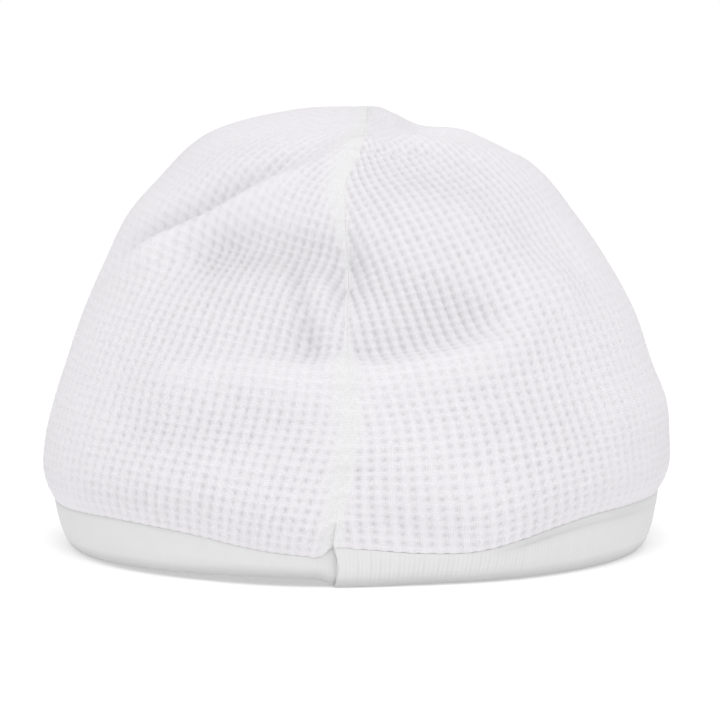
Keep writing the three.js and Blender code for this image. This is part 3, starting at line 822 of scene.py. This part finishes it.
# The folded strip's outline: inset from the outer face, share of the height, and rise above
# it, from the top edge down the outer face, round the fold, up inside and back between the
# layers. The ribs stand on the first faces only.
BAND_OUTLINE = np.array([
    (0.3, 1.0, 0.0), (0.0, 1.0, -0.01), (-0.06, 1.0, -0.07), (-0.2, 0.93, 0.0),
    (-0.24, 0.86, 0.0), (-0.28, 0.78, 0.0), (-0.28, 0.62, 0.0), (-0.14, 0.3, 1.6),
    (0.15, 0.16, 1.4), (0.6, 0.08, 0.9), (1.2, 0.03, 0.45), (1.9, 0.0, 0.15), (2.7, 0.0, 0.0),
    (3.4, 0.0, 0.2), (3.6, 0.0, 0.8), (3.3, 0.0, 1.6), (2.8, 0.0, 2.5), (2.4, 0.5, 0.0),
    (2.4, 0.75, 0.0), (2.3, 1.0, -0.4), (1.9, 1.0, 0.0), (1.4, 1.0, -0.3), (1.35, 0.7, 0.0),
    (1.35, 0.5, 0.0), (1.3, 0.4, 0.0), (1.05, 0.5, 0.0), (1.05, 0.7, 0.0), (1.05, 1.0, -0.3),
])
RIBBED = 21                  # corners of the outline that carry ribs
OUTER_FACE = 1.2             # inset up to which a corner's ribs are cut inwards, and not outwards
RIBS = round(math.radians(360 + BAND_LAP) * FOOT_RADIUS / RIB)

# The ribs stand open on the right of the nape, between these pairs of azimuths, and are nearly
# closed elsewhere. Chance varies them. Under the join the shade painted in their grooves is
# lighter.
RIBS_CLOSED, RIBS_OPEN_FROM, RIBS_OPEN_TO = 0.25, (-2.0, 2.0), (60.0, 15.0)
RIB_CHANCE = (0.55, 0.9)
GROOVE_PAINTED_SHADE_AT_JOIN, GROOVE_SHADE = 0.4, (1.0, 0.5)

# The crease that runs along under the join on the right: its depth, the azimuths over which it
# starts and ends, and which corners of the outline it moves in or out, by shares of the depth.
WRINKLE_DEPTH, WRINKLE_FROM, WRINKLE_TO = 0.6, (22.0, 34.0), (84.0, 60.0)
WRINKLE = (2, 3, 4, 5, 6), (0.0, -0.7, 1.0, 0.1, 0.0)

bm = bmesh.new()
bmesh.ops.create_grid(bm, x_segments=RIBS * RIB_STEPS, y_segments=len(BAND_OUTLINE), size=0.5)
flat = np.array([vert.co for vert in bm.verts])
rib = (flat[:, 0] + 0.5) * RIBS
along = (flat[:, 0] + 0.5) * (360.0 + BAND_LAP)
azimuth = (BAND_LAP - along + 180.0) % 360.0 - 180.0
corner = np.round((flat[:, 1] + 0.5) * len(BAND_OUTLINE)).astype(int) % len(BAND_OUTLINE)
inset, share, over = BAND_OUTLINE[corner].T

opened = within(azimuth, RIBS_OPEN_FROM, RIBS_OPEN_TO)
opened = RIBS_CLOSED + (1.0 - RIBS_CLOSED) * opened
opened = opened * (RIB_CHANCE[0] + RIB_CHANCE[1] * chance(rib))
groove = (0.5 + 0.5 * np.cos(2.0 * np.pi * rib)) * opened
cut_in = np.where(inset < OUTER_FACE, RIB_HEIGHT, -RIB_HEIGHT)
wrinkle = within(azimuth, WRINKLE_FROM, WRINKLE_TO)
inset = inset + WRINKLE_DEPTH * wrinkle * np.interp(corner, *WRINKLE)
inset = inset + np.where(corner < RIBBED, cut_in * groove, 0.0)

join = through(RIM, AZIMUTH, JOIN, azimuth) - JOIN_GAP
foot = np.maximum(through(RIM, AZIMUTH, LIFT, azimuth), 0.0)
height = foot + share * (join - foot) + over
rising = np.clip((height - foot) / (join - foot), 0.0, 1.0)

raised = along > 180.0
away = np.where(raised, 360.0 + BAND_LAP - along, along - BAND_LAP)
pressed = between(np.where(raised, away, along), BAND_LAP + PRESS_EASE, BAND_LAP)
inward = inset * (1.0 - LAP_PRESS * pressed) - lap_shift(away, raised)
bend = LAP_CURVE * np.sin(np.pi * rising) * np.exp(-away / LAP_CURVE_REACH)
azimuth = azimuth + np.where(raised, bend, 0.0)

sine, cosine = np.sin(np.radians(azimuth)), np.cos(np.radians(azimuth))
widths = {key: low + (LEVELS[0, key] - low) * rising for key, low in FOOT_WIDTHS.items()}
points = np.stack([
    (np.where(sine < 0, widths[LEFT], widths[RIGHT]) - inward) * sine,
    -(np.where(cosine > 0, widths[NAPE], widths[BROW]) - inward) * cosine,
    height,
], axis=-1)
points = stray_with_seam(points)
for vert, point in zip(bm.verts, points * MM):
    vert.co = point
bmesh.ops.reverse_faces(bm, faces=bm.faces)
# Painted shade in the rib grooves, lighter under the join.
less_painted_shade = GROOVE_PAINTED_SHADE_AT_JOIN + (1.0 - GROOVE_PAINTED_SHADE_AT_JOIN) * between(rising, *GROOVE_SHADE)
# And painted shade round the fold, darkest at the foot.
band_painted_shade_marks = {"groove": groove * less_painted_shade, "fold": 1.0 - ease((height - foot) / FOLD_SHADE)}
band_cloth = finished(bm, "rim_band_cloth", band_painted_shade_marks, rib, corner.astype(float))

# The strip's long edges are closed up and its ends filled.
bm = bmesh.new()
bm.from_mesh(band_cloth.data)
bmesh.ops.remove_doubles(bm, verts=bm.verts, dist=1e-6)
bmesh.ops.holes_fill(bm, edges=[edge for edge in bm.edges if edge.is_boundary], sides=0)
bmesh.ops.recalc_face_normals(bm, faces=bm.faces)
bm.to_mesh(band_cloth.data)
bm.free()
band_cloth.data.shade_smooth()

# Its colour: a white a little greyer than the crown's, with painted shade in the grooves between
# the ribs and round the fold.
BAND_MOTTLE = (70.0, 2.0)    # scale and detail of the uneven whiteness
BAND_SHADE, BAND_SHADE_LEAST = 0.05, 0.975
BAND_BUMP, BAND_BUMP_DEPTH = 0.25, 0.0002

rib_knit, tree, shader = cotton("rib_knit_cotton", roughness=0.88, sheen=0.1)
groove_painted_shade_fac = node(tree, "ShaderNodeAttribute", attribute_name="groove").outputs["Fac"]
fold_painted_shade_fac = node(tree, "ShaderNodeAttribute", attribute_name="fold").outputs["Fac"]
# Painted shade in the grooves and round the fold, mixed into the band's white.
rib_white_painted_shade = blend_colours(tree, groove_painted_shade_fac, BAND_WHITE, BAND_GROOVE_PAINTED_SHADE)
rib_white_painted_shade = blend_colours(tree, fold_painted_shade_fac, rib_white_painted_shade, BAND_FOLD_PAINTED_SHADE)
shade = maths(tree, "MULTIPLY_ADD", fuzz(tree, *BAND_MOTTLE), BAND_SHADE, BAND_SHADE_LEAST)
bump = node(tree, "ShaderNodeBump", {
    "Strength": BAND_BUMP, "Distance": BAND_BUMP_DEPTH, "Height": fuzz(tree, *YARN_FUZZ),
})
tree.links.new(multiply_colour(tree, rib_white_painted_shade, shade), shader.inputs["Base Color"])
tree.links.new(bump.outputs[0], shader.inputs["Normal"])
band_cloth.data.materials.append(rib_knit)
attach(band_cloth, "root")
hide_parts("rim_band")
